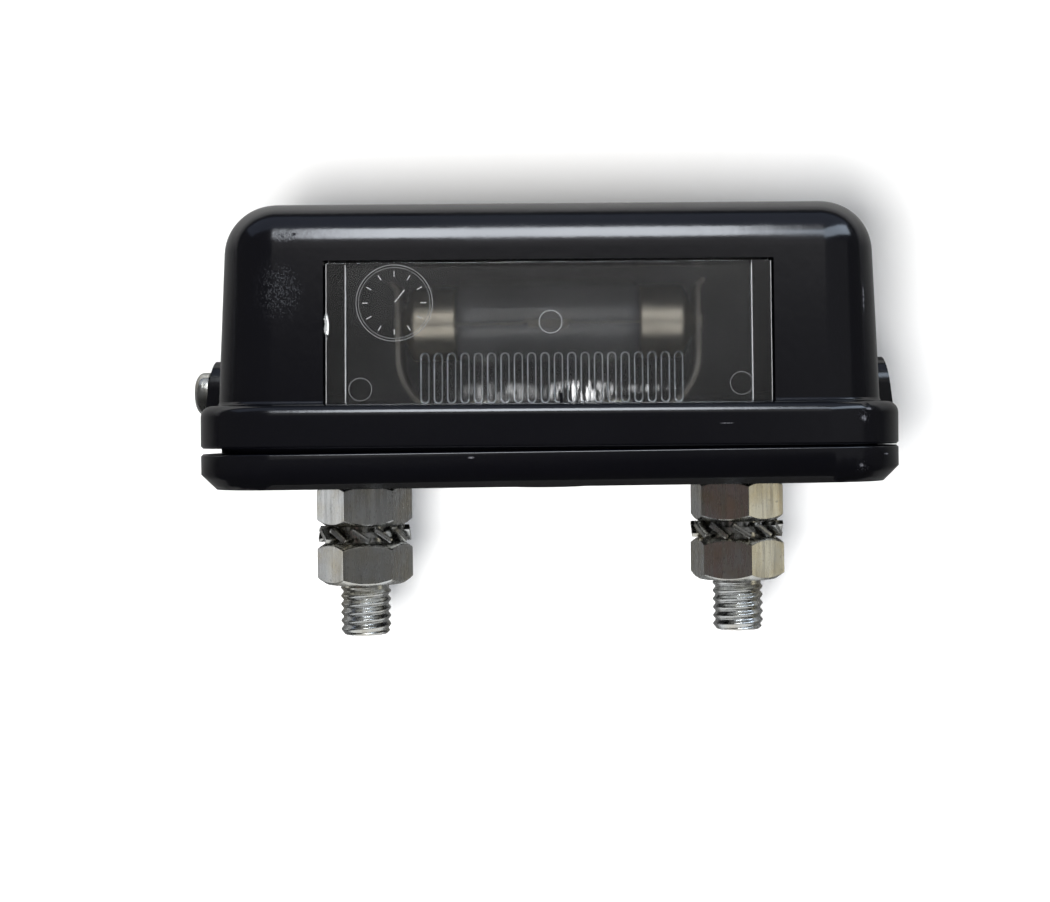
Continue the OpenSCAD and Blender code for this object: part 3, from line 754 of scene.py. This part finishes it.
def addCrumbs(body, size):
    draw = random.Random(size["seed"])
    for i in range(size["count"]):
        share = (i + 0.5) / size["count"]
        swell = (1 - abs(2 * share - 1)) * draw.uniform(size["least"], 1)
        radius = size["small"] + (size["large"] - size["small"]) * swell
        form = bmesh.new()
        bmesh.ops.create_icosphere(form, subdivisions=1, radius=radius * mm)
        for v in form.verts:
            v.co *= draw.uniform(*size["rough"])
        x = size["x"] + draw.uniform(*size["stray"])
        z = size["low"] + (size["high"] - size["low"]) * share
        bmesh.ops.translate(form, verts=form.verts, vec=(x * mm, size["y"] * mm, z * mm))
        piece = addPiece("crumb", form, "lens")
        # the crumbs wear the painted edge glint
        piece.data.materials[0] = edgeGlint
        carve(body, piece, "UNION")


# of the softened edges only the upright ones at the front get the painted glint, the inner ones the brightest
def glintUprights(piece, size):
    for face in piece.data.polygons:
        if abs(face.normal.z) > size["levelFrom"] or face.center.y > size["glintBack"] * mm:
            face.material_index = 0
        elif face.material_index == 1 and abs(face.center.x) < size["glintInner"] * mm:
            face.material_index = 2


def buildLens(size):
    length, wall, low, back = size["length"], size["wall"], size["low"], size["back"]
    body = leaningPiece(length, size["front"], back, low, size["paneTop"])
    carve(body, leaningPiece(length, size["shoulder"], back, low, size["top"]), "UNION")
    side = length / 2 + size["lipWidth"]
    lip = boxForm((-side, -size["lipFront"], low), (side, back + size["lipWidth"], size["lipTop"]))
    carve(body, addPiece("part", lip, "lens"), "UNION")
    inside, back = length - 2 * wall, back - wall
    carve(body, leaningPiece(inside, size["front"] - wall, back, low - 1, size["paneTop"] - size["ledge"]))
    carve(body, leaningPiece(inside, size["shoulder"] - wall, back, low, size["top"] - wall))
    body.data.materials.append(edgeGlint)
    body.data.materials.append(fluteGlint)
    soften(body, size["edge"], 50, material=1)
    glintUprights(body, size)
    carve(body, fluteStrip(fluteRow), "UNION")
    for ring in paneRings:
        carve(body, markRing(*ring), "UNION")
    for side in (-1, 1):
        carve(body, ridgePiece(ridges, side), "UNION")
    carve(body, tickMarks(dateTicks), "UNION")
    addCrumbs(body, crumbs)
    shadeEven(body, 35)
    moved(body, leftOpen)
    return fixed(body, "clear_lens", "lens")


clearLens = buildLens(lens)
print("lens moulded:", len(clearLens.data.polygons), "faces")

# studs, nuts and washers: one table, because all share the thread's size
fixing = {
    "pitch": 45, "radius": 3.0, "core": 2.8, "headLow": 2.2, "headHigh": 6.2, "tip": -18.1, "freeTop": -12.4,
    "flats": 10, "nutHeight": 5, "face": 9.3, "slope": 34, "spare": 0.1, "sink": 0.4, "play": 0.02, "edge": 0.14,
    "overlap": 0.2, "washerHeight": 2, "washerOut": 5.5, "washerPlay": 0.15, "rim": 0.5, "ringShare": 0.45,
    "teeth": 12, "twist": 34, "sheet": 0.6, "toothWidth": 2.55, "toothEdge": 0.1,
}
thread = {"pitch": 1.0, "depth": 0.3, "crest": 0.12, "flanks": 0.76, "chamfer": 0.45, "rows": 14, "steps": 72}


# hexagon block: a disc with sloped rims, cut by a prism and bored
def hexBlock(size, turn, low, height, slopes, bore=None):
    corner = size["flats"] / 2 / math.cos(math.radians(30))
    face, reach = size["face"] / 2, corner + size["spare"]
    lowDrop, highDrop = ((reach - face) * math.tan(math.radians(a)) for a in slopes)
    ring = turnedForm([(0, 0), (face, 0), (reach, lowDrop), (reach, height - highDrop), (face, height),
                       (0, height)], 96)
    block = addPiece("block", ring, "zinc_plated")
    prism = turnedForm([(0, -1), (corner, -1), (corner, height + 1), (0, height + 1)], 6)
    tool = addPiece("cut", prism, "zinc_plated")
    moved(tool, Matrix.Rotation(math.radians(turn), 4, "Z"))
    carve(block, tool, "INTERSECT")
    if bore:
        sink = size["sink"]
        wide = bore + 1 + sink
        hole = turnedForm([(0, -1), (wide, -1), (bore, sink), (bore, height - sink), (wide, height + 1),
                           (0, height + 1)], 64)
        carve(block, addPiece("cut", hole, "zinc_plated"))
    soften(block, size["edge"], 25)
    moved(block, Matrix.Translation((0, 0, low * mm)))
    return block


def threadForm(size, cut):
    form = bmesh.new()
    top, tip, steps = size["freeTop"], size["tip"], cut["steps"]
    rows = int((top - tip) / cut["pitch"] * cut["rows"])
    rings = []
    for k in range(rows + 1):
        z = tip + (top - tip) * k / rows
        ring = []
        for i in range(steps):
            angle = math.tau * i / steps
            turn = (z / cut["pitch"] - i / steps) % 1.0
            crest = min(1.0, max(0.0, (abs(turn - 0.5) * 2 - cut["crest"]) / cut["flanks"]))
            radius = size["radius"] - max(cut["depth"] * (1 - crest), cut["chamfer"] - (z - tip), 0.0)
            ring.append(form.verts.new((radius * mm * math.cos(angle), radius * mm * math.sin(angle), z * mm)))
        rings.append(ring)
    skin(form, rings)
    foot = form.verts.new((0, 0, (tip + size["play"]) * mm))
    head = form.verts.new((0, 0, top * mm))
    for i in range(steps):
        j = (i + 1) % steps
        form.faces.new((rings[0][j], rings[0][i], foot))
        form.faces.new((rings[-1][i], rings[-1][j], head))
    return form


def studPiece(size):
    core, low, high = size["core"], size["freeTop"] - size["overlap"], size["headLow"] + 0.1
    shank = addPiece("shank", turnedForm([(0, low), (core, low), (core, high), (0, high)], 64), "zinc_plated")
    free = addPiece("thread", threadForm(size, thread), "zinc_plated")
    head = hexBlock(size, 0, size["headLow"], size["headHigh"] - size["headLow"], (0, size["slope"]))
    for piece, angle in ((head, 25), (free, 60), (shank, 40)):
        shadeEven(piece, angle)
    return joined([shank, free, head])


def washerTree():
    tree, given, out = newTree("toothed washer", {
        "Teeth": "Int", "Ring": "Float", "Length": "Float", "Width": "Float", "Sheet": "Float", "Twist": "Float",
        "Material": "Material",
    })
    around = addNode(tree, "GeometryNodeMeshCircle", {"Vertices": given["Teeth"], "Radius": given["Ring"]})
    size = addNode(tree, "ShaderNodeCombineXYZ", {"X": given["Length"], "Y": given["Width"], "Z": given["Sheet"]})
    tooth = addNode(tree, "GeometryNodeMeshCube", {
        "Size": size.outputs[0], "Vertices X": 3, "Vertices Y": 7, "Vertices Z": 3})
    twist = addNode(tree, "ShaderNodeCombineXYZ", {"X": given["Twist"]})
    place = addNode(tree, "GeometryNodeInputPosition")
    face = addNode(tree, "FunctionNodeAlignRotationToVector", {
        "Vector": place.outputs[0]}, axis="X", pivot_axis="Z")
    spin = addNode(tree, "FunctionNodeRotateRotation", {
        "Rotation": face.outputs[0], "Rotate By": twist.outputs[0]}, rotation_space="LOCAL")
    tree.links.new(spreadOn(tree, around, tooth, given["Material"], spin), out)
    return tree


toothTree = washerTree()


def washerPiece(size):
    inner, half = size["radius"] + size["washerPlay"], size["sheet"] / 2
    length = size["washerOut"] - inner - size["rim"]
    teeth = grown("teeth", toothTree, {
        "Teeth": size["teeth"], "Ring": (size["washerOut"] - length / 2) * mm, "Length": length * mm,
        "Width": size["toothWidth"] * mm, "Sheet": size["sheet"] * mm, "Twist": -math.radians(size["twist"]),
        "Material": finishes["zinc_plated"],
    })
    soften(teeth, size["toothEdge"], 50)
    outer = inner + size["ringShare"] * length
    outline = [(inner, -half), (outer, -half), (outer, half), (inner, half), (inner, -half)]
    washer = joined([addPiece("ring", turnedForm(outline, 64), "zinc_plated"), teeth])
    shadeEven(washer, 40)
    return washer


# how far each nut is turned, in degrees: upper and lower
turns = {"left": (11.6, 9.5), "right": (-22, -19)}


def buildFixings(size):
    for side, sign in (("left", -1), ("right", 1)):
        across = Matrix.Translation((sign * size["pitch"] / 2 * mm, 0, 0))
        height = size["nutHeight"]
        lows = (-height, -2 * height - size["washerHeight"])
        for label, turn, low in zip(("upper_nut", "lower_nut"), turns[side], lows):
            nut = hexBlock(size, turn, low, height, (size["slope"], size["slope"]), size["core"] + size["play"])
            shadeEven(nut, 25)
            moved(nut, across)
            fixed(nut, "turned_" + label + "_" + side, label + "_" + side)
        washer = washerPiece(size)
        moved(washer, across @ Matrix.Translation((0, 0, (-height - size["washerHeight"] / 2) * mm)))
        fixed(washer, "toothed_washer_" + side, "lock_washer_" + side)
        stud = studPiece(size)
        moved(stud, across)
        fixed(stud, "threaded_stud_" + side, "stud_" + side)


buildFixings(fixing)
print("studs, nuts and washers turned")

# pan-head cover screws: head outwards along +X; the left one stands out
coverScrew = {
    "radius": 1.5, "length": 11, "head": 2.6, "height": 1.9, "gap": 0.02, "leftSeat": 40.7, "rim": 0.1,
    "point": 0.3, "straight": 0.45, "flat": 0.45, "slotHalf": 0.15, "slotFloor": 0.42, "edge": 0.06,
}


def panScrew(size):
    head, height, radius, flat = size["head"], size["height"], size["radius"], size["flat"]
    edge = height * size["straight"]
    outline = [(0, -size["length"]), (radius - size["point"], -size["length"]),
               (radius, size["point"] - size["length"]), (radius, 0), (head - size["rim"], 0),
               (head, size["rim"]), (head, edge)]
    outline += [(head * (flat + (1 - flat) * math.cos(a)), edge + (height - edge) * math.sin(a))
                for a in [math.radians(6 * i) for i in range(1, 16)]]
    screw = addPiece("screw", turnedForm(outline + [(0, height)], 64), "zinc_plated")
    side = head * size["slotHalf"]
    for turn in (0, 90):
        form = boxForm((-head / 2, -side, height * size["slotFloor"]), (head / 2, side, height + 1))
        slot = addPiece("cut", form, "zinc_plated")
        moved(slot, Matrix.Rotation(math.radians(turn), 4, "Z"))
        carve(screw, slot)
    soften(screw, size["edge"], 50)
    shadeEven(screw, 35)
    return screw


def buildScrews(size):
    rightSeat = boss["seat"] + size["gap"] + boss["axis"] * math.sin(tilt)
    for side, seat, turn in (("right", rightSeat, 0), ("left", size["leftSeat"], math.pi)):
        screw = panScrew(size)
        place = Matrix.Translation((seat * mm, 0, boss["axis"] * mm)) @ outwards
        moved(screw, Matrix.Rotation(turn, 4, "Z") @ place)
        fixed(screw, "pan_cover_screw_" + side, "cover_screw_" + side)


buildScrews(coverScrew)
print("screws turned")

# festoon bulb: glass with a lining, two caps, and a coil on straight leads
bulb = {
    "y": -5.5, "z": 18.7, "radius": 5.25, "wall": 0.7, "glass": 21.4, "gap": 0.05, "neck": 3.8, "neckOut": 3,
    "liningOut": 1.8, "cap": 4.25, "capLength": 5.2, "capRound": 0.6, "rim": 0.1, "sheet": 0.35, "nose": 1.1,
    "noseRound": 0.5, "noseLow": 1.0, "noseHigh": 0.7, "flare": 0.3, "length": 36,
}
filament = {"coil": 0.45, "length": 4.8, "turns": 16, "steps": 12, "wire": 0.13, "lead": 0.6, "leadOut": 1.7}
bulbAxis = Matrix.Translation((0, bulb["y"] * mm, bulb["z"] * mm)) @ outwards


def glassForm(size, inset, out):
    end, shoulder = size["glass"] / 2, size["radius"] - size["neck"]
    outline = [(0, end + out), (size["neck"] - inset, end + out)]
    outline += roundTurn(size["neck"] - inset, end - size["gap"] - shoulder, shoulder, 90, 0, 10)
    outline += [(r, -z) for r, z in reversed(outline)]
    return turnedForm(outline if inset else outline[::-1], 96)


def buildBulb(size):
    form, lining = glassForm(size, 0, size["neckOut"]), glassForm(size, size["wall"], size["liningOut"])
    mesh = bpy.data.meshes.new("lining")
    lining.to_mesh(mesh)
    lining.free()
    form.from_mesh(mesh)
    bpy.data.meshes.remove(mesh)
    glass = addPiece("glass", form, "bulb_glass")
    shadeEven(glass, 50)
    moved(glass, bulbAxis)
    fixed(glass, "festoon_glass", "bulb_glass")
    start, radius, inner = size["glass"] / 2, size["cap"], size["cap"] - size["sheet"]
    shoulder, tip = start + size["capLength"], size["length"] / 2
    outline = [(inner, start), (radius - size["rim"], start), (radius, start + size["rim"])]
    outline += roundTurn(radius - size["capRound"], shoulder - size["capRound"], size["capRound"], 0, 70, 6)
    outline += [(size["nose"] + size["flare"], tip - size["noseLow"]), (size["nose"], tip - size["noseHigh"])]
    outline += roundTurn(size["nose"] - size["noseRound"], tip - size["noseRound"], size["noseRound"], 0, 90, 6)
    outline += [(0, tip), (0, shoulder - size["sheet"]), (inner, shoulder - size["sheet"]), (inner, start)]
    for side, turn in (("right", 0), ("left", math.pi)):
        cap = addPiece("cap", turnedForm(outline, 72), "nickel_plated")
        shadeEven(cap, 40)
        moved(cap, bulbAxis @ Matrix.Rotation(turn, 4, "X"))
        fixed(cap, "festoon_cap_" + side, "bulb_cap_" + side)


def buildFilament(size):
    half, end = size["length"] / 2, bulb["glass"] / 2 + size["leadOut"]
    count = size["turns"] * size["steps"]
    path = [(-end, 0, 0), (-half - size["lead"], 0, 0)]
    for i in range(count + 1):
        angle = math.tau * i / size["steps"]
        along = -half + size["length"] * i / count
        path.append((along, size["coil"] * math.sin(angle), size["coil"] * math.cos(angle)))
    path += [(half + size["lead"], 0, 0), (end, 0, 0)]
    curve = bpy.data.curves.new("filament", "CURVE")
    curve.dimensions = "3D"
    curve.bevel_depth = size["wire"] * mm
    curve.bevel_resolution = 2
    curve.use_fill_caps = True
    line = curve.splines.new("POLY")
    line.points.add(len(path) - 1)
    for point, place in zip(line.points, path):
        point.co = (*[c * mm for c in place], 1)
    drawn = bpy.data.objects.new("filament", curve)
    scene.collection.objects.link(drawn)
    graph = bpy.context.evaluated_depsgraph_get()
    mesh = bpy.data.meshes.new_from_object(drawn.evaluated_get(graph))
    bpy.data.objects.remove(drawn)
    mesh.materials.clear()
    mesh.materials.append(finishes["wire"])
    mesh.shade_smooth()
    coil = bpy.data.objects.new("filament", mesh)
    scene.collection.objects.link(coil)
    moved(coil, Matrix.Translation((0, bulb["y"] * mm, bulb["z"] * mm)))
    fixed(coil, "coiled_filament", "bulb_filament")


buildBulb(bulb)
buildFilament(filament)
print("bulb made")

# the contact leaves wear the darkened nickel, a painted shade
for side in ("left", "right"):
    leaf = smoothCopy("contact_" + side, "contact_leaf_" + side, "nickel_plated", 25)
    leaf.data.materials[0] = shadedNickel
smoothCopy("cable_grommet", "inlet_grommet", "rubber")

# pieces that stay as in the CAD wear the same finishes
for entry in frame["record"]["subparts"]:
    node = frame["nodes"][entry["node"]]
    node.data.materials.clear()
    node.data.materials.append(finishes[entry["material_slot"]])


# stage: colour, the glow that a shadow leaves, the share of both that gloss and glass see at heights in
# metres, and the distances in metres between which the glow grows to white
glowFade = (0.25, 0.8)
backdropLook = {
    "y": 30, "colour": 0.85, "glow": 0.12,
    "shares": [(-0.01, 0.13), (0.03, 0.22), (0.06, 0.43), (0.1, 0.9), (0.19, 0.9), (0.24, 0.12)],
}
floorLook = {"z": -62, "colour": 0.5, "glow": 0.45, "shares": [(0, 0.3)]}


def stageMaterial(name, look):
    material, tree, shader, place = newMaterial(name)
    path = addNode(tree, "ShaderNodeLightPath").outputs
    indirect = math2(tree, "MAXIMUM", path["Is Glossy Ray"], path["Is Transmission Ray"])
    height = addNode(tree, "ShaderNodeSeparateXYZ", {0: place}).outputs["Z"]
    share = look["shares"][0][1]
    for (low, before), (high, after) in zip(look["shares"], look["shares"][1:]):
        share = math2(tree, "ADD", share, remap(tree, height, low, high, 0, after - before))
    hidden = math2(tree, "MULTIPLY", indirect, math2(tree, "SUBTRACT", 1.0, share))
    seen = math2(tree, "MAXIMUM", path["Is Camera Ray"], math2(tree, "MULTIPLY", indirect, share))
    away = remap(tree, vectorMath(tree, "LENGTH", place)["Value"], *glowFade)
    glow = math2(tree, "MAXIMUM", look["glow"], math2(tree, "MULTIPLY", away, path["Is Camera Ray"]))
    setInputs(tree, shader, {
        "Base Color": blend(tree, hidden, (look["colour"],) * 3, (0.0, 0.0, 0.0)),
        "Roughness": 0.9, "Specular IOR Level": 0,
        "Emission Color": (1, 1, 1, 1), "Emission Strength": math2(tree, "MULTIPLY", seen, glow),
    })
    oneSided = addNode(tree, "ShaderNodeMixShader", {
        0: addNode(tree, "ShaderNodeNewGeometry").outputs["Backfacing"], 1: shader.outputs[0],
        2: addNode(tree, "ShaderNodeBsdfTransparent").outputs[0]})
    tree.links.new(oneSided.outputs[0], tree.nodes["Material Output"].inputs["Surface"])
    return material


def addSheet(name, corners, look):
    form = bmesh.new()
    form.faces.new([form.verts.new(c) for c in corners])
    mesh = bpy.data.meshes.new(name)
    form.to_mesh(mesh)
    form.free()
    sheet = bpy.data.objects.new(name, mesh)
    scene.collection.objects.link(sheet)
    mesh.materials.append(stageMaterial(name, look))
    return sheet


y, z = backdropLook["y"] * mm, floorLook["z"] * mm
backdrop = addSheet("backdrop", [(-1, y, z), (1, y, z), (1, y, 1), (-1, y, 1)], backdropLook)
backdrop.visible_shadow = backdrop.visible_diffuse = False
floor = addSheet("floor", [(-3, -3, z), (3, -3, z), (3, 3, z), (-3, 3, z)], floorLook)
floor.visible_glossy = False

# lights: name, place in mm, aim, width and height in mm, watts, colour
lights = [
    ("frontKey", (-24, -230, -16), (0, 0, 10), 52, 52, 0.84, (1, 0.99, 0.97)),
    ("skyPanel", (-6, -438, 457), (0, -18, 28), 221, 242, 2.5, (0.88, 0.93, 1.0)),
    ("skyPanelRight", (350, -335, 410), (0, -18, 28), 600, 200, 1.9, (0.72, 0.84, 1.0)),
    ("skyFoot", (10, -553, 300), (0, -18, 28), 320, 367, 0.164, (1.0, 0.98, 0.97)),
    ("windowCard", (0, -480, -200), (0, -10, 18), 420, 240, 0.40, (1, 0.97, 0.92)),
    ("ceiling", (0, -160, 620), (0, -18, 28), 1500, 400, 0.80, (0.60, 0.72, 1.0)),
    ("rightCard", (430, -620, 90), (0, -18, 10), 720, 400, 0.12, (0.97, 0.98, 1.0)),
]
# these fall on the studs, nuts and washers alone
lowLights = [
    ("leftPanel", (-120, 12, -12), (-23, -3, -8), 44, 44, 0.0047, (0.97, 0.98, 1.0)),
    ("rightPanel", (290, -38, -40), (23, 0, -8), 120, 76, 0.023, (1.0, 0.93, 0.72)),
    ("warmCard", (-170, -236, -30), (22, 0, -8), 120, 60, 0.001, (1.0, 0.25, 0.2)),
    ("threadCard", (0, -21, -58), (0, -21, 0), 110, 98, 0.03, (0.96, 0.98, 1)),
]


# only the front key falls on the backdrop, so that it alone throws a shadow there
offBackdrop = bpy.data.collections.new("off backdrop")
offBackdrop.objects.link(backdrop)
offBackdrop.collection_objects[0].light_linking.link_state = "EXCLUDE"
fixings = bpy.data.collections.new("fixings")
for piece in scene.objects:
    if piece.name.startswith(("turned_", "toothed_", "threaded_")):
        fixings.objects.link(piece)
clearOnes = bpy.data.collections.new("clear pieces")
clearOnes.objects.link(clearLens)


def addLight(name, place, aim, width, height, watts, colour):
    data = bpy.data.lights.new(name, "AREA")
    data.shape = "RECTANGLE"
    data.size, data.size_y = width * mm, height * mm
    data.energy = watts
    data.color = colour
    light = bpy.data.objects.new(name, data)
    light.location = Vector(place) * mm
    light.rotation_euler = (Vector(aim) - Vector(place)).to_track_quat("-Z", "Y").to_euler()
    scene.collection.objects.link(light)
    return light


for entry in lights:
    light = addLight(*entry)
    if entry[0] == "frontKey":
        light.visible_glossy = light.visible_transmission = False
    elif entry[0] == "windowCard":
        light.visible_glossy = light.visible_diffuse = False
        light.light_linking.receiver_collection = clearOnes
    else:
        light.light_linking.receiver_collection = offBackdrop
for entry in lowLights:
    addLight(*entry).light_linking.receiver_collection = fixings


# world: white to the camera, and dim to the part, dimmer still from below
worldLook = {"below": 0.03, "level": 0.09}


def addWorld(look):
    world = bpy.data.worlds.new("studio")
    world.use_nodes = True
    scene.world = world
    tree = world.node_tree
    camera = addNode(tree, "ShaderNodeLightPath").outputs["Is Camera Ray"]
    place = addNode(tree, "ShaderNodeTexCoord").outputs["Generated"]
    height = addNode(tree, "ShaderNodeSeparateXYZ", {0: place}).outputs["Z"]
    dim = remap(tree, height, -0.5, 0.0, look["below"], look["level"])
    setInputs(tree, tree.nodes["Background"], {
        "Color": (1, 1, 1, 1), "Strength": math2(tree, "MAXIMUM", camera, dim)})


addWorld(worldLook)
scene.view_settings.view_transform = "Standard"
print("stage and lights ready")
